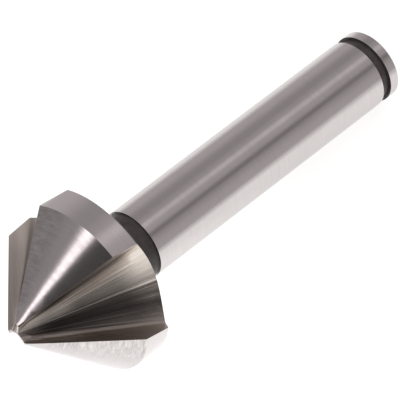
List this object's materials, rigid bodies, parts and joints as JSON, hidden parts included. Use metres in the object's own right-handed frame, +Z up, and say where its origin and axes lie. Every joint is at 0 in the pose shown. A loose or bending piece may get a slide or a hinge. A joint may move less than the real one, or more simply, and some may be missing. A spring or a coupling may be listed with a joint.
{
  "type": "countersink bit",
  "caption": "Three-flute 90 degree countersink bit with a plain round shank, ground from one bar of tool steel.",
  "frame": {"origin": "middle of the ground under the bit, where its bounding box meets the surface it lies on", "axes": "+Z up; +X along the bit as it lies, from the tip towards the end of the shank; +Y across it"},
  "size_m": [0.0672, 0.025, 0.0236],
  "materials": {
    "ground_steel": "satin, ground"
  },
  "bodies": {
    "root": {"countersink_bit": "ground_steel"}
  },
  "joints": []
}
